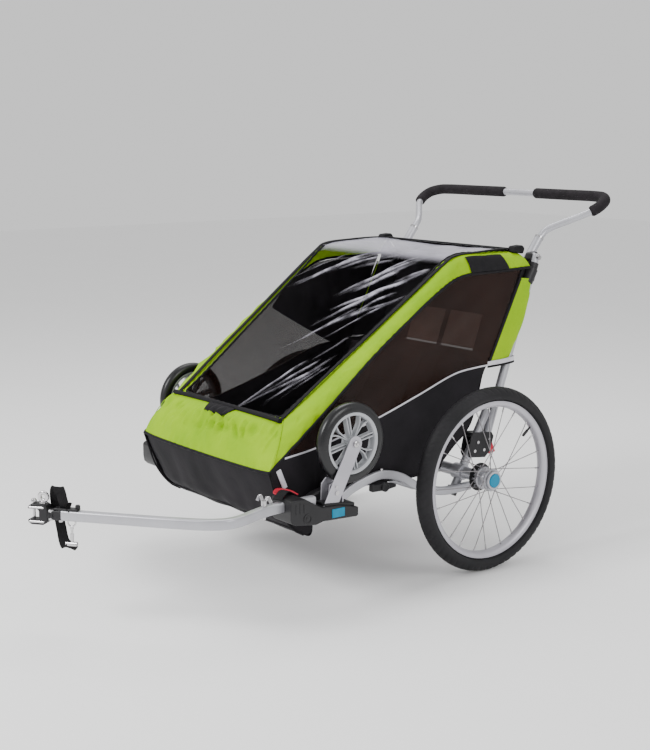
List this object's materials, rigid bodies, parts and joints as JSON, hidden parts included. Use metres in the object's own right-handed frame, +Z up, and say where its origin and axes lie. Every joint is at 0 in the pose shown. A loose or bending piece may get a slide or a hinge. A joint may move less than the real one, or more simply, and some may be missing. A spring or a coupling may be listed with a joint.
{
  "type": "child bicycle trailer",
  "caption": "Folding covered trailer for small children with big spoked wheels, stored front wheels, hitch arm, push handle and window cover.",
  "frame": {"origin": "on the ground under the middle of the whole trailer's box, which is centred on the two big wheels", "axes": "+Z up, -Y to the front (the bicycle), +X to the trailer's left side, where the hitch arm is"},
  "size_m": [0.8552, 1.6884, 0.9976],
  "materials": {
    "aluminium": "satin anodised",
    "steel": "bright plated",
    "tyre": "matt moulded tread",
    "front_tyre": "smooth semi-gloss",
    "black_plastic": "fine moulded texture",
    "grey_plastic": "satin moulded",
    "blue_plastic": "smooth",
    "red_plastic": "smooth",
    "grip_foam": "matt foam",
    "lime_cloth": "coated plain weave",
    "black_cloth": "coated plain weave",
    "window_film": "clear flexible film, glossy",
    "tinted_mesh": "fine open mesh",
    "webbing": "woven strap"
  },
  "bodies": {
    "root": {"rear_frame": "aluminium", "left_base_rail": "aluminium", "right_base_rail": "aluminium", "front_cross_tube": "aluminium", "middle_cross_tube": "aluminium", "left_corner_housing": "black_plastic", "right_corner_housing": "black_plastic", "cabin_cloth": "lime_cloth", "window_cover": "window_film", "left_side_window": "tinted_mesh", "right_side_window": "tinted_mesh", "seat": "black_cloth", "left_harness": "webbing", "right_harness": "webbing"},
    "upper_frame": {"left_upright": "aluminium", "right_upright": "aluminium", "left_strut": "aluminium", "right_strut": "aluminium", "left_fold_bracket": "black_plastic", "right_fold_bracket": "black_plastic", "left_rear_sleeve": "lime_cloth", "right_rear_sleeve": "lime_cloth"},
    "handle": {"handlebar": "aluminium", "left_handle_grip": "grip_foam", "right_handle_grip": "grip_foam"},
    "foot_brake": {"brake_pedal": "red_plastic"},
    "hitch": {"hitch_arm": "aluminium", "hitch_fork": "black_plastic", "safety_strap": "webbing", "strap_clip": "steel"},
    "arm_pin": {"arm_lock_pin": "steel"},
    "swivel": {"hitch_swivel": "steel"},
    "coupler": {"coupler_head": "black_plastic"},
    "hitch_pin_body": {"hitch_pin": "steel"},
    "left_axle": {"left_axle_pin": "aluminium"},
    "left_axle_release": {"left_axle_button": "blue_plastic"},
    "left_wheel": {"left_tyre": "tyre", "left_rim": "aluminium", "left_hub_and_spokes": "aluminium", "left_brake_rotor": "black_plastic"},
    "left_brake_bolt": {"left_brake_pin": "steel"},
    "left_lever": {"left_fold_lever": "red_plastic"},
    "left_front_arm": {"left_stroller_arm": "aluminium", "left_stroller_bolt": "steel"},
    "left_front_wheel": {"left_stroller_tyre": "front_tyre", "left_stroller_rim": "grey_plastic"},
    "left_arm_release": {"left_housing_button": "blue_plastic"},
    "right_axle": {"right_axle_pin": "aluminium"},
    "right_axle_release": {"right_axle_button": "blue_plastic"},
    "right_wheel": {"right_tyre": "tyre", "right_rim": "aluminium", "right_hub_and_spokes": "aluminium", "right_brake_rotor": "black_plastic"},
    "right_brake_bolt": {"right_brake_pin": "steel"},
    "right_lever": {"right_fold_lever": "red_plastic"},
    "right_front_arm": {"right_stroller_arm": "aluminium", "right_stroller_bolt": "steel"},
    "right_front_wheel": {"right_stroller_tyre": "front_tyre", "right_stroller_rim": "grey_plastic"},
    "right_arm_release": {"right_housing_button": "blue_plastic"}
  },
  "joints": [
    {"name": "frame_fold", "type": "hinge", "parent": "root", "child": "upper_frame", "pos_m": [0, 0.35797, 0.303], "axis": [1, 0, 0], "range_deg": [0, 100], "deforming": ["cabin_cloth", "window_cover", "left_side_window", "right_side_window", "seat", "left_harness", "right_harness"]},
    {"name": "handle_tilt", "type": "hinge", "parent": "upper_frame", "child": "handle", "pos_m": [0, 0.59397, 0.816], "axis": [1, 0, 0], "range_deg": [-40, 45]},
    {"name": "brake_press", "type": "hinge", "parent": "root", "child": "foot_brake", "pos_m": [0, 0.35197, 0.25], "axis": [1, 0, 0], "range_deg": [-20, 0]},
    {"name": "arm_slide", "type": "slide", "parent": "root", "child": "hitch", "axis": [0, -1, 0], "range_m": [0, 0.12]},
    {"name": "arm_pin_lift", "type": "slide", "parent": "hitch", "child": "arm_pin", "axis": [0, 0, 1], "range_m": [0, 0.03]},
    {"name": "hitch_yaw", "type": "hinge", "parent": "hitch", "child": "swivel", "pos_m": [0.07989, -0.79655, 0.277], "axis": [0, 0, 1], "range_deg": [-35, 35]},
    {"name": "hitch_pitch", "type": "hinge", "parent": "swivel", "child": "coupler", "pos_m": [0.0672, -0.80629, 0.277], "axis": [0.6087, -0.7934, 0], "range_deg": [-20, 20]},
    {"name": "hitch_pin_lift", "type": "slide", "parent": "coupler", "child": "hitch_pin_body", "axis": [0, 0, 1], "range_m": [0, 0.05]},
    {"name": "left_axle_pull", "type": "slide", "parent": "root", "child": "left_axle", "axis": [1, 0, 0], "range_m": [0, 0.1]},
    {"name": "left_axle_button_press", "type": "slide", "parent": "left_axle", "child": "left_axle_release", "axis": [-1, 0, 0], "range_m": [0, 0.003], "stiffness_N_per_m": 600},
    {"name": "left_wheel_spin", "type": "hinge", "parent": "left_axle", "child": "left_wheel", "pos_m": [0.4, 0.32197, 0.25], "axis": [1, 0, 0], "continuous": true},
    {"name": "left_brake_bolt_slide", "type": "slide", "parent": "root", "child": "left_brake_bolt", "axis": [1, 0, 0], "range_m": [0, 0.01]},
    {"name": "left_lever_pull", "type": "hinge", "parent": "upper_frame", "child": "left_lever", "pos_m": [0.29, 0.43247, 0.318], "axis": [1, 0, 0], "range_deg": [0, 30], "stiffness_Nm_per_rad": 0.4},
    {"name": "left_front_arm_lift", "type": "slide", "parent": "root", "child": "left_front_arm", "axis": [0, 0.4706, 0.8824], "range_m": [0, 0.06]},
    {"name": "left_front_wheel_spin", "type": "hinge", "parent": "left_front_arm", "child": "left_front_wheel", "pos_m": [0.366, -0.12503, 0.407], "axis": [1, 0, 0], "continuous": true},
    {"name": "left_arm_button_press", "type": "slide", "parent": "root", "child": "left_arm_release", "axis": [-1, 0, 0], "range_m": [0, 0.003], "stiffness_N_per_m": 600},
    {"name": "right_axle_pull", "type": "slide", "parent": "root", "child": "right_axle", "axis": [-1, 0, 0], "range_m": [0, 0.1]},
    {"name": "right_axle_button_press", "type": "slide", "parent": "right_axle", "child": "right_axle_release", "axis": [1, 0, 0], "range_m": [0, 0.003], "stiffness_N_per_m": 600},
    {"name": "right_wheel_spin", "type": "hinge", "parent": "right_axle", "child": "right_wheel", "pos_m": [-0.4, 0.32197, 0.25], "axis": [1, 0, 0], "continuous": true},
    {"name": "right_brake_bolt_slide", "type": "slide", "parent": "root", "child": "right_brake_bolt", "axis": [-1, 0, 0], "range_m": [0, 0.01]},
    {"name": "right_lever_pull", "type": "hinge", "parent": "upper_frame", "child": "right_lever", "pos_m": [-0.29, 0.43247, 0.318], "axis": [1, 0, 0], "range_deg": [0, 30], "stiffness_Nm_per_rad": 0.4},
    {"name": "right_front_arm_lift", "type": "slide", "parent": "root", "child": "right_front_arm", "axis": [0, 0.4706, 0.8824], "range_m": [0, 0.06]},
    {"name": "right_front_wheel_spin", "type": "hinge", "parent": "right_front_arm", "child": "right_front_wheel", "pos_m": [-0.366, -0.12503, 0.407], "axis": [1, 0, 0], "continuous": true},
    {"name": "right_arm_button_press", "type": "slide", "parent": "root", "child": "right_arm_release", "axis": [1, 0, 0], "range_m": [0, 0.003], "stiffness_N_per_m": 600}
  ],
  "couplings": [
    {"joint": "left_brake_bolt_slide", "follows": "brake_press", "m_per_rad": -0.0286},
    {"joint": "right_brake_bolt_slide", "follows": "brake_press", "m_per_rad": -0.0286}
  ]
}
